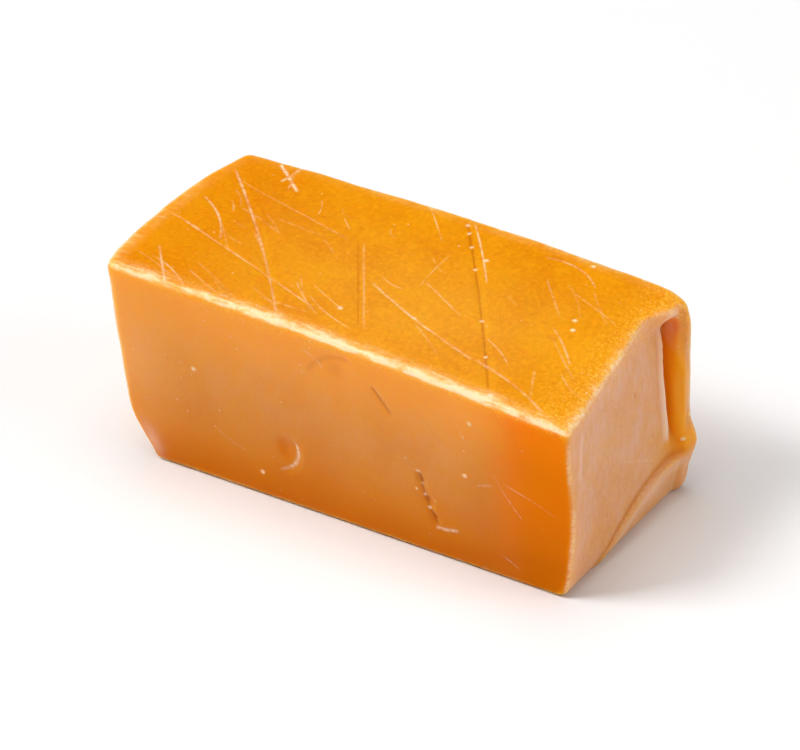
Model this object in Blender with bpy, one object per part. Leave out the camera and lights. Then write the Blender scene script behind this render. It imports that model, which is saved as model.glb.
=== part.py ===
"""One unwrapped toffee, lying flat: a short bar that was cut from a rope of soft toffee
and squashed a little out of square, with the folds of its twist wrapper pressed into
both ends. It is one solid piece.

Axes: +X runs along the bar, to the end with the deep side fold, +Y to the far side, +Z up.
The origin is under the middle of the bar, on the surface it lies on.
"""

import bmesh
import bpy
import numpy as np

MM = 0.001

# The bar, in millimetres. Its edges are rounded before it is squashed.
LENGTH = 35.6
WIDTH = 15.9
HEIGHT = 14.2
EDGE_RADIUS = 0.6
EDGE_STEPS = 3
EDGE_PROFILE = 0.5

# Cuts along, across and up the bar, close enough for the folds in its ends
LENGTH_CUTS = 20
WIDTH_CUTS = 34
HEIGHT_CUTS = 26

# How far each corner of the squashed bar ends from its place on the square one
CORNER_SHIFTS = {
    (-1, -1, -1): (1.5, 0.6, 0.0),
    (-1, -1, 1): (0.5, 0.3, 0.3),
    (-1, 1, -1): (1.1, -0.3, 0.0),
    (-1, 1, 1): (1.0, 0.0, 0.3),
    (1, -1, -1): (-1.3, 1.1, 0.0),
    (1, -1, 1): (-0.6, 0.2, -0.7),
    (1, 1, -1): (-1.0, -0.45, 0.0),
    (1, 1, 1): (-0.9, 0.0, 0.5),
}

# Soft swellings and hollows of the long faces
TOP_CROWN = 0.25
FAR_SWELL = 0.4
NEAR_HOLLOW = 0.3

# Both ends: how far along the bar their folds pull, and how deep the shallowest lies
FOLD_REACH = 6.5
LEAST_DEPTH = 0.05

# Right end: the facet falls away from the near side, faster towards the top
FACET_START_Y = -7.6
FACET_DEPTH = 0.15
FACET_SLOPE = 0.12
FACET_SLOPE_LOW = 0.1
FACET_SLOPE_POWER = 1.8
FACET_TOP_Z = 14.0
FULL_CORNER = 0.75

# Right end: the side groove bends out above and below its middle and leans out at its
# top, and the inner wall of the flap beside it is widest a little above the middle
GROOVE_Y = 5.65
GROOVE_MIDDLE_Z = 7.0
GROOVE_BEND = 0.013
GROOVE_LEAN = 0.3
WALL_WIDTH = 0.45
WALL_SPREAD = 0.75
WALL_MIDDLE_Z = 8.3
SHOULDER_DEPTH = 0.7
FLAP_EDGE_Y = 7.8

# Right end: the curved crease, the low flap under it, and the hub on the far side
CREASE_Y = 5.4
CREASE_Z = 3.6
CREASE_BEND = 0.042
LOW_FLAP_SLOPE = 0.16
CREASE_STEEPNESS = 0.7
HUB_Y = 7.0
HUB_Z = 3.9
HUB_HEIGHT = 0.4
HUB_SPREAD_Z = 3.6
HUB_SPREAD = 0.5
TUCK_DEPTH = 0.5
TUCK_Z = 1.9
BELLY_HEIGHT = 0.5

# Right end: its far top corner is rubbed rounder than the others, inwards along x, y and z
RUBBED_CORNER = (0.3, 0.35, 0.45)
RUBBED_REACH = 1.4

# Left end: heights of the ridge and the slot at the far side, and what they change by
# on the way to the near side
RIDGE_Z = 13.6
RIDGE_FALL = 5.2
RIDGE_SAG = 1.4
UPPER_FLAP_SLOPE = 0.55
LEFT_FACET_DEPTH = 0.45
LEFT_FACET_SLOPE = 0.1
SLOT_Z = 4.9
SLOT_CLIMB = 1.8
SLOT_SAG = 1.6
SLOT_DEPTH = 0.4
LIP_DEPTH = 0.2
LIP_BRINK = 0.5
LIP_STEEPNESS = 0.8
LIP_SLOPE = 0.22
PLEAT_Y = 4.2
PLEAT_LEAN = 0.15
PLEAT_HEIGHT = 0.5
PLEAT_HOLLOW = 0.4
LEFT_DOME = 1.1
CRUSHED_CORNER = 1.9

# The underside is pressed flat up to this height
PRESSED_FLAT = 0.12

TOFFEE_COLOUR = (0.78, 0.33, 0.035, 1.0)
TOFFEE_ROUGHNESS = 0.38


def rise(value, start, end):
    """0 before start, 1 past end, and an S-curve between them."""
    share = np.clip((value - start) / (end - start), 0.0, 1.0)
    return share * share * (3.0 - 2.0 * share)


def lesser(first, second, blend):
    """The lesser of two depths, rounded where they cross over the blend width."""
    share = np.clip(0.5 + 0.5 * (second - first) / blend, 0.0, 1.0)
    return second * (1.0 - share) + first * share - blend * share * (1.0 - share)


def hump(value, middle, width):
    """A smooth bump of height 1 about the middle."""
    return np.exp(-(((value - middle) / width) ** 2))


def above_zero(value):
    """The value where it is above 0, and 0 elsewhere."""
    return np.clip(value, 0.0, None)


def right_end_depth(y, z):
    """How deep the folds of the right end lie at each place across and up it.

    A large facet deepens towards the top of the far side, where it meets a thin side
    flap in a groove. Flap and facet close in a hub low on the far side, and from there
    a curved crease runs down to the bottom of the near side, over a low flap.
    """
    share_up = np.clip(z / FACET_TOP_Z, 0.0, 1.1) ** FACET_SLOPE_POWER
    slope = FACET_SLOPE * (FACET_SLOPE_LOW + (1.0 - FACET_SLOPE_LOW) * share_up)
    facet = FACET_DEPTH + slope * (y - FACET_START_Y)
    facet *= 1.0 - FULL_CORNER * rise(z, 12.6, 14.2) * rise(y, 4.0, 6.6)
    groove_y = GROOVE_Y + GROOVE_BEND * (z - GROOVE_MIDDLE_Z) ** 2
    groove_y += GROOVE_LEAN * rise(z, 8.5, 13.4)
    wall_width = WALL_WIDTH + WALL_SPREAD * hump(z, WALL_MIDDLE_Z, 3.0)
    wall = facet * np.clip(1.0 - (y - groove_y) / wall_width, 0.0, 3.0)
    shoulder = SHOULDER_DEPTH * rise(z, 8.5, 12.0) * np.clip((FLAP_EDGE_Y - y) / 1.4, 0.0, 1.0)
    side_flap = -lesser(-wall, -shoulder, 0.25)
    below = CREASE_Z - CREASE_BEND * above_zero(CREASE_Y - y) ** 2 - z - 0.4
    low_flap = LEAST_DEPTH + LOW_FLAP_SLOPE * above_zero(below) + CREASE_STEEPNESS * above_zero(-below)
    depth = lesser(lesser(facet, side_flap, 0.2), low_flap, 0.2)
    tuck = TUCK_DEPTH * np.clip(1.0 - z / TUCK_Z, 0.0, 1.0) ** 2
    hub = HUB_HEIGHT * hump(y, HUB_Y, 1.1) * hump(z, HUB_Z, 1.2)
    belly = BELLY_HEIGHT * hump(y, FACET_START_Y, 2.0) * hump(z, 6.0, 4.0)
    return depth + tuck - hub - belly


def left_end_depth(y, z):
    """How deep the folds of the left end lie at each place across and up it.

    An upper flap ends in a slanting ridge. Under it a facet falls back to a slot, and
    below the slot a lip leans in to the bottom, with a small pleat near the far side.
    """
    across = 0.5 - y / (WIDTH - 0.9)
    sag = across * (1.0 - across)
    ridge_z = RIDGE_Z - RIDGE_FALL * across - RIDGE_SAG * sag
    slot_z = SLOT_Z + SLOT_CLIMB * across - SLOT_SAG * sag
    under_ridge = above_zero(ridge_z - z)
    upper_flap = LEAST_DEPTH + UPPER_FLAP_SLOPE * under_ridge
    facet = LEFT_FACET_DEPTH + LEFT_FACET_SLOPE * under_ridge
    over_lip = z - slot_z + LIP_BRINK
    lip = LIP_DEPTH + LIP_STEEPNESS * above_zero(over_lip) + LIP_SLOPE * above_zero(-over_lip)
    folds = lesser(lesser(upper_flap, facet, 0.2), lip, 0.3)
    folds += SLOT_DEPTH * hump(z, slot_z, 0.8) * rise(across, 0.0, 0.15)
    pleat_y = PLEAT_Y - PLEAT_LEAN * z
    pleat = PLEAT_HEIGHT * hump(y, pleat_y, 0.6) - PLEAT_HOLLOW * hump(y, pleat_y, 1.7)
    folds -= pleat * rise(z, 0.4, 1.6) * rise(z, 4.8, 3.4)
    dome = LEFT_DOME * (1.0 - np.abs(2.0 * y / WIDTH) ** 2.6) * rise(z, 3.0, 13.0)
    crushed_corner = CRUSHED_CORNER * hump(y, -7.4, 2.4) * hump(z, 0.0, 2.2)
    return LEAST_DEPTH + folds * rise(y, -7.4, -4.8) - dome + crushed_corner


def grid_bar():
    """The square bar: a cube with its edges rounded and its faces cut into a grid."""
    bar = bmesh.new()
    bmesh.ops.create_cube(bar, size=1.0)
    bmesh.ops.scale(bar, vec=(LENGTH, WIDTH, HEIGHT), verts=bar.verts)
    bmesh.ops.translate(bar, vec=(0.0, 0.0, HEIGHT / 2), verts=bar.verts)
    bmesh.ops.bevel(
        bar,
        geom=bar.edges[:],
        offset=EDGE_RADIUS,
        offset_type="OFFSET",
        segments=EDGE_STEPS,
        profile=EDGE_PROFILE,
        affect="EDGES",
    )
    spans = (LENGTH, WIDTH, HEIGHT)
    for axis, cuts in enumerate((LENGTH_CUTS, WIDTH_CUTS, HEIGHT_CUTS)):
        straight = spans[axis] - 2.5 * EDGE_RADIUS
        ring = [
            edge
            for edge in bar.edges
            if abs(edge.verts[0].co[axis] - edge.verts[1].co[axis]) > straight
        ]
        bmesh.ops.subdivide_edges(bar, edges=ring, cuts=cuts, use_grid_fill=True)
    return bar


def squash(points):
    """The points of the square bar moved to the squashed bar, as rows of x, y and z."""
    x, y, z = points.T
    along = 2.0 * x / LENGTH
    across = 2.0 * y / WIDTH
    up = 2.0 * z / HEIGHT - 1.0
    moved = points.copy()
    for (sign_x, sign_y, sign_z), shift in CORNER_SHIFTS.items():
        share = (1 + sign_x * along) * (1 + sign_y * across) * (1 + sign_z * up) / 8
        moved += share[:, None] * np.array(shift)
    arch = 1.0 - along**2
    moved[:, 2] += TOP_CROWN * arch * (1.0 - 0.4 * across**2) * rise(up, -1.0, 1.0)
    moved[:, 1] += FAR_SWELL * arch * rise(across, -1.0, 1.0) * rise(up, -1.2, 0.6)
    moved[:, 1] += NEAR_HOLLOW * arch * rise(-across, -1.0, 1.0) * hump(up, 0.6, 1.0)
    return moved


def fold_ends(points, square):
    """The squashed points with both ends folded in, given their places on the square bar."""
    folded = points.copy()
    _, y, z = points.T
    from_right = LENGTH / 2 - square[:, 0]
    from_left = LENGTH / 2 + square[:, 0]
    right_pull = np.clip(1.0 - from_right / FOLD_REACH, 0.0, 1.0) ** 2
    left_pull = np.clip(1.0 - from_left / FOLD_REACH, 0.0, 1.0) ** 2
    folded[:, 0] -= right_end_depth(y, z) * right_pull
    folded[:, 0] += left_end_depth(y, z) * left_pull
    far_hub = hump(from_right, 0.0, 2.0) * hump(z, HUB_SPREAD_Z, 1.6) * rise(y, 5.0, 8.0)
    folded[:, 1] += HUB_SPREAD * far_hub
    corner = np.array((LENGTH / 2, WIDTH / 2, HEIGHT))
    near_corner = np.exp(-((square - corner) ** 2).sum(axis=1) / RUBBED_REACH**2)
    folded -= near_corner[:, None] * np.array(RUBBED_CORNER)
    return folded


def settle(points):
    """The points moved so that the bar is centred and its pressed underside lies at height 0."""
    low, high = points.min(axis=0), points.max(axis=0)
    settled = points - np.array(((low[0] + high[0]) / 2, (low[1] + high[1]) / 2, low[2]))
    settled[:, 2] = np.maximum(settled[:, 2] - PRESSED_FLAT, 0.0)
    return settled


def toffee_material():
    """The satin, honey-brown finish of the toffee."""
    material = bpy.data.materials.new("toffee")
    material.use_nodes = True
    shader = material.node_tree.nodes["Principled BSDF"]
    shader.inputs["Base Color"].default_value = TOFFEE_COLOUR
    shader.inputs["Roughness"].default_value = TOFFEE_ROUGHNESS
    shader.inputs["Metallic"].default_value = 0.0
    material.diffuse_color = TOFFEE_COLOUR
    return material


def build_toffee():
    """The toffee as one object, in metres."""
    bar = grid_bar()
    square = np.array([vertex.co[:] for vertex in bar.verts])
    points = settle(fold_ends(squash(square), square)) * MM
    for vertex, point in zip(bar.verts, points):
        vertex.co = point
    bmesh.ops.triangulate(bar, faces=bar.faces[:])
    mesh = bpy.data.meshes.new("toffee")
    bar.to_mesh(mesh)
    bar.free()
    mesh.materials.append(toffee_material())
    mesh.shade_smooth()
    toffee = bpy.data.objects.new("toffee", mesh)
    bpy.context.scene.collection.objects.link(toffee)
    return toffee


for old in list(bpy.data.objects):
    bpy.data.objects.remove(old, do_unlink=True)

build_toffee()
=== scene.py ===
"""One unwrapped toffee on a plain pale floor, in soft studio light.

The toffee is a short bar, squashed a little out of square. The folds of its twist wrapper
are pressed into both ends, and fine grooves, scratches and specks lie on its long faces.
"""

import logging
import math
from dataclasses import dataclass, field
from enum import Enum

import bmesh
import bpy
import numpy as np
from mathutils import Matrix, Vector


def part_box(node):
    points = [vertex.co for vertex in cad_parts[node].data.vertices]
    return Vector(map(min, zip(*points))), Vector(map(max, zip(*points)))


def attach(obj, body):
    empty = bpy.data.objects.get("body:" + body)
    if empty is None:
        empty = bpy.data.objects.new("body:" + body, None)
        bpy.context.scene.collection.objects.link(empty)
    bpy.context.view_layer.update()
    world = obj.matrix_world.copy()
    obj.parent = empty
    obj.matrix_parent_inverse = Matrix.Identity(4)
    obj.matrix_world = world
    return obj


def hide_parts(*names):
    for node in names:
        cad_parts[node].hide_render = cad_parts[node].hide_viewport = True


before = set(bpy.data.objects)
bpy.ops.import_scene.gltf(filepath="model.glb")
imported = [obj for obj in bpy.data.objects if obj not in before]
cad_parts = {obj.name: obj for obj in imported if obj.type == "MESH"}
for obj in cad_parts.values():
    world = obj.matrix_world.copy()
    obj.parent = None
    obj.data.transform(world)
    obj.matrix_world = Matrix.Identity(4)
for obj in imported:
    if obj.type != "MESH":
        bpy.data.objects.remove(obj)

log = logging.getLogger("toffee")

MM = 0.001
NODE = "toffee"

Numbers = np.ndarray
Place = tuple[float, float]
Triple = tuple[float, float, float]
Colour = tuple[float, float, float, float]
Socket = bpy.types.NodeSocket


def rise(value: Numbers, start: float | Numbers, end: float | Numbers) -> Numbers:
    """Blend from 0 to 1 along an S-curve.

    Args:
        value: The numbers to place on the curve.
        start: Where the curve leaves 0.
        end: Where it reaches 1. It may lie below start, and the curve then falls.

    Returns:
        The share of the way, from 0 to 1, for each number.
    """
    share = np.clip((value - start) / (end - start), 0.0, 1.0)
    return share * share * (3.0 - 2.0 * share)


def hump(value: Numbers, middle: float | Numbers, width: float) -> Numbers:
    """Make a smooth bump of height 1.

    Args:
        value: The numbers to place on the bump.
        middle: Where the bump is highest.
        width: How far from the middle it has fallen to about a third.

    Returns:
        The height of the bump at each number.
    """
    return np.exp(-(((value - middle) / width) ** 2))


def lesser(first: Numbers, second: Numbers, blend: float) -> Numbers:
    """Take the lesser of two depths, rounded where they cross.

    Args:
        first: One depth at each place.
        second: The other depth at each place.
        blend: The difference within which the two melt into each other.

    Returns:
        The rounded lesser depth at each place.
    """
    share = np.clip(0.5 + 0.5 * (second - first) / blend, 0.0, 1.0)
    return second * (1.0 - share) + first * share - blend * share * (1.0 - share)


def outside(value: Numbers) -> Numbers:
    """Keep what is above 0 and flatten the rest to 0."""
    return np.clip(value, 0.0, None)


class Face(Enum):
    """A face of the bar: its own two axes, then the axis that it faces along and the side."""

    TOP = (0, 1, 2, 1)
    NEAR = (0, 2, 1, -1)
    FAR = (0, 2, 1, 1)
    LEFT = (1, 2, 0, -1)
    RIGHT = (1, 2, 0, 1)

    def facing(self, normals: Numbers) -> Numbers:
        """Weigh how far each point belongs to this face.

        Args:
            normals: One outward direction a row.

        Returns:
            1 where a point faces as the face does, down to 0 past its rounded edges.
        """
        return rise(self.value[3] * normals[:, self.value[2]], 0.45, 0.85)

    def places(self, points: Numbers) -> Numbers:
        """Read where points lie along the face's own two axes, as rows of two."""
        return points[:, self.value[:2]]


@dataclass
class RightFolds:
    """The folds of the end with the deep side fold, at places across the bar and up it.

    A large facet deepens towards the top of the far side, where it meets a thin side flap
    in a groove. Facet and flap close in a hub low on the far side, and from there a curved
    crease runs down to the bottom of the near side, over a low flap. All lengths are in
    millimetres, and every method gives one number for each place.
    """

    y: Numbers
    z: Numbers
    facet_start: float = -7.6
    facet_depth: float = 0.15
    facet_slope: float = 0.12
    facet_top: float = 14.0
    full_corner: float = 0.75
    groove_y: float = 5.65
    groove_height: float = 7.0
    groove_bend: float = 0.013
    groove_lean: float = 0.3
    trench: float = 0.45
    shoulder: float = 0.7
    flap_edge: float = 7.8
    stripes: float = 12.0
    crease_height: float = 3.6
    crease_start: float = 5.4
    crease_bend: float = 0.042
    low_flap_slope: float = 0.16
    crease_steepness: float = 1.5
    hub_y: float = 7.0
    hub_height: float = 3.9
    hub_rise: float = 0.4
    belly: float = 0.5
    tuck: float = 0.5
    brink: float = 0.2
    line: float = 0.07

    def __post_init__(self) -> None:
        """Measure how far each place lies past the groove, past the near line and over the crease."""
        groove = self.groove_y + self.groove_bend * (self.z - self.groove_height) ** 2
        self.past_groove = self.y - groove - self.groove_lean * rise(self.z, 8.5, 13.4)
        self.past_near_line = self.y + 6.1 - 0.12 * (self.z - 9.0)
        crease = self.crease_height - self.crease_bend * outside(self.crease_start - self.y) ** 2
        self.over_crease = self.z - crease
        self.wall_width = 0.45 + 0.75 * hump(self.z, 8.3, 3.0)

    def depth(self) -> Numbers:
        """Work out how deep the folds lie.

        Returns:
            The depth inwards from the flat end.
        """
        y, z = self.y, self.z
        share_up = 0.1 + 0.9 * np.clip(z / self.facet_top, 0.0, 1.1) ** 1.8
        facet = self.facet_depth + self.facet_slope * (y - self.facet_start) * share_up
        facet *= 1.0 - self.full_corner * rise(z, 12.6, 14.2) * rise(y, 4.0, 6.6)
        wall = facet * np.clip(1.0 - self.past_groove / self.wall_width, 0.0, 3.0)
        shoulder = self.shoulder * rise(z, 8.5, 12.0) * np.clip((self.flap_edge - y) / 1.4, 0.0, 1.0)
        side_flap = -lesser(-wall, -shoulder, 0.1)
        low_flap = 0.05 + self.low_flap_slope * outside(-0.3 - self.over_crease)
        low_flap += self.crease_steepness * outside(0.3 + self.over_crease)
        depth = lesser(lesser(facet, side_flap, 0.16), low_flap, 0.14)
        depth += self.trench * hump(self.past_groove, 0.1, 0.27) * rise(z, 4.4, 6.0) * rise(z, 13.7, 12.6)
        depth += self.tuck * np.clip(1.0 - z / 1.9, 0.0, 1.0) ** 2
        depth -= self.hub_rise * hump(y, self.hub_y, 1.1) * hump(z, self.hub_height, 1.2)
        depth -= self.belly * hump(y, self.facet_start, 2.0) * hump(z, 6.0, 4.0)
        return depth - self.fine_ridges()

    def fine_ridges(self) -> Numbers:
        """Work out how far the thin lines that the wrapper left stand proud.

        Returns:
            The height outwards.
        """
        y, z = self.y, self.z
        beside_groove = rise(z, 4.2, 6.0) * rise(z, 13.4, 11.5)
        ridges = self.brink * hump(self.past_groove, -0.42, 0.24) * beside_groove
        ridges += self.line * hump(self.past_groove, -1.15, 0.17) * beside_groove
        ridges += self.line * hump(self.past_near_line, 0.0, 0.16) * rise(z, 7.0, 9.5) * rise(z, 13.6, 12.4)
        stripes = np.cos(self.past_groove * self.stripes) * rise(self.past_groove, 0.9, 1.3)
        ridges += 0.5 * self.line * stripes * rise(z, 5.0, 8.0) * rise(z, 14.0, 12.5)
        ridges += 0.4 * self.line * hump(self.over_crease, -1.1, 0.25) * rise(y, -2.0, 1.0)
        return ridges

    def shade(self) -> Numbers:
        """Weigh how deep in the folds each place lies, where painted shade darkens the toffee.

        Returns:
            The weight, from 0 to 1.
        """
        y, z = self.y, self.z
        in_groove = rise(self.past_groove, -0.3, -0.05) * rise(self.past_groove, 0.6 * self.wall_width, 0.1)
        in_groove *= 0.7 * rise(z, 3.8, 5.2) * rise(z, 13.8, 13.2)
        in_crease = rise(self.over_crease, -0.12, 0.05) * rise(self.over_crease, 0.6, 0.1)
        in_crease *= 0.8 * rise(y, -6.8, -4.0) * rise(y, 7.4, 6.0)
        beside_lip = 0.45 * hump(self.past_groove, -1.05, 0.13) * rise(z, 5.0, 7.0) * rise(z, 13.0, 11.5)
        return np.maximum(np.maximum(in_groove, beside_lip), in_crease)

    def lit_wall(self) -> Numbers:
        """Weigh where a painted glow stands for light through thin toffee: the inner wall of the flap, and
        the hub.

        Returns:
            The weight, from 0 to 1.
        """
        past, width = self.past_groove, self.wall_width
        wall = rise(past, 0.15 * width, 0.6 * width) * rise(past, 1.5 * width, width)
        wall *= rise(self.z, 3.5, 5.0) * rise(self.z, 12.8, 10.0)
        hub = 0.9 * hump(self.y, self.hub_y - 0.4, 1.1) * hump(self.z, self.hub_height + 0.6, 1.0)
        return np.maximum(wall, hub)

    def painted_sheen(self) -> Numbers:
        """Weigh where a pale sheen is painted along the edges of the folds.

        Returns:
            The weight, from 0 to 1.
        """
        y, z = self.y, self.z
        painted_sheen = hump(self.past_groove, -0.5, 0.34) * rise(z, 4.6, 5.6) * (0.55 + 0.45 * rise(z, 12.5, 8.5))
        painted_sheen += 0.7 * hump(self.past_near_line, 0.0, 0.22) * rise(z, 8.6, 9.6) * rise(z, 12.8, 11.8)
        painted_sheen += 0.5 * hump(self.over_crease, -0.75, 0.4) * rise(y, -4.0, 0.0) * rise(y, 7.2, 6.0)
        stripes = 0.5 + 0.25 * np.cos(self.past_groove * self.stripes)
        return painted_sheen + stripes * rise(self.past_groove, 1.0, 1.4) * rise(z, 5.0, 7.0)

    def filmed_and_reflecting(self) -> Numbers:
        """Weigh where the pale veil shows, partly a wrapper coating and mostly a painted reflection: little
        of it past the groove and on the hub.

        Returns:
            The weight, from 0 to 1.
        """
        z = self.z
        crest = self.wall_width * (1.0 - 0.6 * rise(z, 9.5, 12.5))
        wall = rise(self.past_groove, -0.2, 0.0) * rise(self.past_groove, crest + 0.1, crest - 0.2)
        wall *= rise(z, 13.9, 13.3) * rise(z, 4.2, 5.0)
        outer = 0.7 * rise(self.past_groove, crest - 0.1, crest + 0.2) * rise(z, 4.2, 5.6)
        hub = hump(self.y, self.hub_y - 0.6, 1.6) * hump(z, self.hub_height + 0.4, 1.3)
        return (1.0 - wall) * (1.0 - outer) * (1.0 - hub) * (0.8 + 0.2 * rise(z, 1.5, 7.5))


@dataclass
class LeftFolds:
    """The folds of the other end, at places across the bar and up it.

    An upper flap ends in a slanting ridge. Under it a facet falls back to a slot, and
    below the slot a lip leans in to the bottom, with a small pleat near the far side. All
    lengths are in millimetres, and every method gives one number for each place.
    """

    y: Numbers
    z: Numbers
    far_edge: float = 7.5
    ridge_height: float = 13.6
    ridge_fall: float = 5.2
    slot_height: float = 4.9
    slot_climb: float = 1.8
    sag: float = 1.5
    facet_depth: float = 0.45
    lip_depth: float = 0.2
    slot_depth: float = 0.4
    pleat_y: float = 4.2
    pleat_lean: float = 0.15
    dome: float = 1.1
    crushed_corner: float = 1.9

    def __post_init__(self) -> None:
        """Follow the ridge and the slot down and up from the far side, and the leaning pleat."""
        self.across = (self.far_edge - self.y) / (2.0 * self.far_edge)
        sag = self.sag * self.across * (1.0 - self.across)
        self.ridge_z = self.ridge_height - self.ridge_fall * self.across - sag
        self.slot_z = self.slot_height + self.slot_climb * self.across - sag
        self.past_pleat = self.y - self.pleat_y + self.pleat_lean * self.z

    def depth(self) -> Numbers:
        """Work out how deep the folds lie.

        Returns:
            The depth inwards from the flat end.
        """
        y, z = self.y, self.z
        under_ridge = outside(self.ridge_z - z)
        over_lip = z - self.slot_z + 0.4
        lip = self.lip_depth + 1.2 * outside(over_lip) + 0.22 * outside(-over_lip)
        folds = lesser(0.05 + under_ridge, self.facet_depth + 0.1 * under_ridge, 0.14)
        folds = lesser(folds, lip, 0.18)
        folds += self.slot_depth * hump(z, self.slot_z, 0.6) * rise(self.across, 0.0, 0.15)
        folds -= 0.09 * hump(z, self.ridge_z + 0.35, 0.22) * rise(self.across, 0.05, 0.4)
        pleat = 0.5 * hump(self.past_pleat, 0.0, 0.5) - 0.4 * hump(self.past_pleat, 0.0, 1.5)
        folds -= pleat * rise(z, 0.4, 1.6) * rise(z, 4.8, 3.4)
        swelling = self.dome * (1.0 - np.abs(y / 8.0) ** 2.6) * rise(z, 3.0, 13.0)
        crushed = self.crushed_corner * hump(y, -7.4, 2.4) * hump(z, 0.0, 2.2)
        return 0.05 + folds * rise(y, -7.4, -4.8) - swelling + crushed

    def shade(self) -> Numbers:
        """Weigh how deep in the folds each place lies, where painted shade darkens the toffee.

        Returns:
            The weight, from 0 to 1.
        """
        z = self.z
        shade = hump(z, self.slot_z + 0.05, 0.4) + 0.6 * hump(z, self.ridge_z - 0.5, 0.3)
        shade *= rise(self.across, 0.0, 0.12) * rise(self.across, 1.0, 0.85)
        beside_pleat = hump(np.abs(self.past_pleat), 1.0, 0.5) * rise(z, 0.6, 1.6) * rise(z, 4.6, 3.6)
        return np.clip(shade + 0.7 * beside_pleat, 0.0, 1.0)


@dataclass(frozen=True)
class Speck:
    """A small burr or dent on one face, in millimetres."""

    face: Face
    place: Place
    radius: float = 0.22
    height: float = 0.07
    paleness: float = 1.3

    def spot(self, points: Numbers, normals: Numbers) -> Numbers:
        """Weigh how near the middle of the speck each point lies, from 0 to 1."""
        away = self.face.places(points) - np.array(self.place)
        return np.exp(-(away**2).sum(axis=1) / self.radius**2) * self.face.facing(normals)


@dataclass(frozen=True)
class Scratch:
    """A groove or a scratch that runs over one face in a shallow arc, in millimetres.

    Its start and end are places along the face's own two axes. A positive paleness is a
    whitish scuff, and a negative one a dark hairline. Its beads are burrs that stand along
    it, each given from -1 to 1 of its length.
    """

    face: Face
    start: Place
    end: Place
    bow: float = 0.0
    width: float = 0.1
    depth: float = 0.05
    paleness: float = 0.5
    beads: tuple[float, ...] = ()
    bead_radius: float = 0.19

    def half(self) -> Numbers:
        """Give half the way from the start to the end."""
        return np.subtract(self.end, self.start) / 2.0

    def trace(self, points: Numbers) -> tuple[Numbers, Numbers]:
        """Place points beside the scratch.

        Args:
            points: Rows of x, y and z.

        Returns:
            How far along the scratch each point is, from -1 to 1 between its ends, and how
            far to its side.
        """
        half = self.half()
        reach = math.hypot(*half)
        forth = half / reach
        offset = self.face.places(points) - (np.array(self.start) + half)
        along = offset @ forth / reach
        aside = offset @ np.array((-forth[1], forth[0]))
        return along, aside - self.bow * (1.0 - along**2)

    def taper(self, along: Numbers) -> Numbers:
        """Fade the scratch out towards its ends."""
        return rise(np.abs(along), 1.0, 0.8)

    def profile(self, aside: Numbers) -> Numbers:
        """Shape the scratch from side to side: a groove, with a low burr along one side."""
        return hump(aside, 0.0, 1.6 * self.width) - 0.35 * hump(aside, 2.6 * self.width, 0.2)

    def burrs(self) -> list[Speck]:
        """Place the beads that stand along the scratch.

        Returns:
            A speck for each bead.
        """
        half = self.half()
        middle = np.array(self.start) + half
        bowed = self.bow * np.array((-half[1], half[0])) / math.hypot(*half)
        places = [middle + half * along + bowed * (1.0 - along**2) for along in self.beads]
        return [Speck(self.face, tuple(place), radius=self.bead_radius) for place in places]


@dataclass(frozen=True)
class Hairlines:
    """Faint hairlines drawn at random over one face, in millimetres and radians.

    Ranges are given by their lowest and highest number, and the turn by its mean and spread.
    """

    face: Face
    count: int
    seed: int
    along: Place = (-16.0, 16.0)
    across: Place = (-6.8, 6.8)
    up: Place = (1.5, 13.0)
    across_end: Place = (-6.0, 2.5)
    turn: Place = (-0.65, 0.32)
    half_length: Place = (0.6, 2.6)
    bow_spread: float = 0.12
    width: Place = (0.06, 0.12)
    paleness: tuple[float, ...] = (0.42, 0.3, 0.2, -0.1)

    def draw(self) -> list[Scratch]:
        """Draw the hairlines.

        Returns:
            One scratch without depth for each hairline.
        """
        draw = np.random.default_rng(self.seed)
        hairs = []
        for _ in range(self.count):
            middle = draw.uniform(*zip(self.along, self.across))
            if self.face is not Face.TOP:
                middle[1] = draw.uniform(*self.up)
            if self.face in (Face.LEFT, Face.RIGHT):
                middle[0] = draw.uniform(*self.across_end)
            turn = draw.normal(*self.turn)
            half = draw.uniform(*self.half_length) * np.array((math.cos(turn), math.sin(turn)))
            hairs.append(
                Scratch(
                    self.face,
                    tuple(middle - half),
                    tuple(middle + half),
                    bow=draw.normal(0.0, self.bow_spread),
                    width=draw.uniform(*self.width),
                    depth=0.0,
                    paleness=draw.choice(self.paleness),
                )
            )
        return hairs


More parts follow.
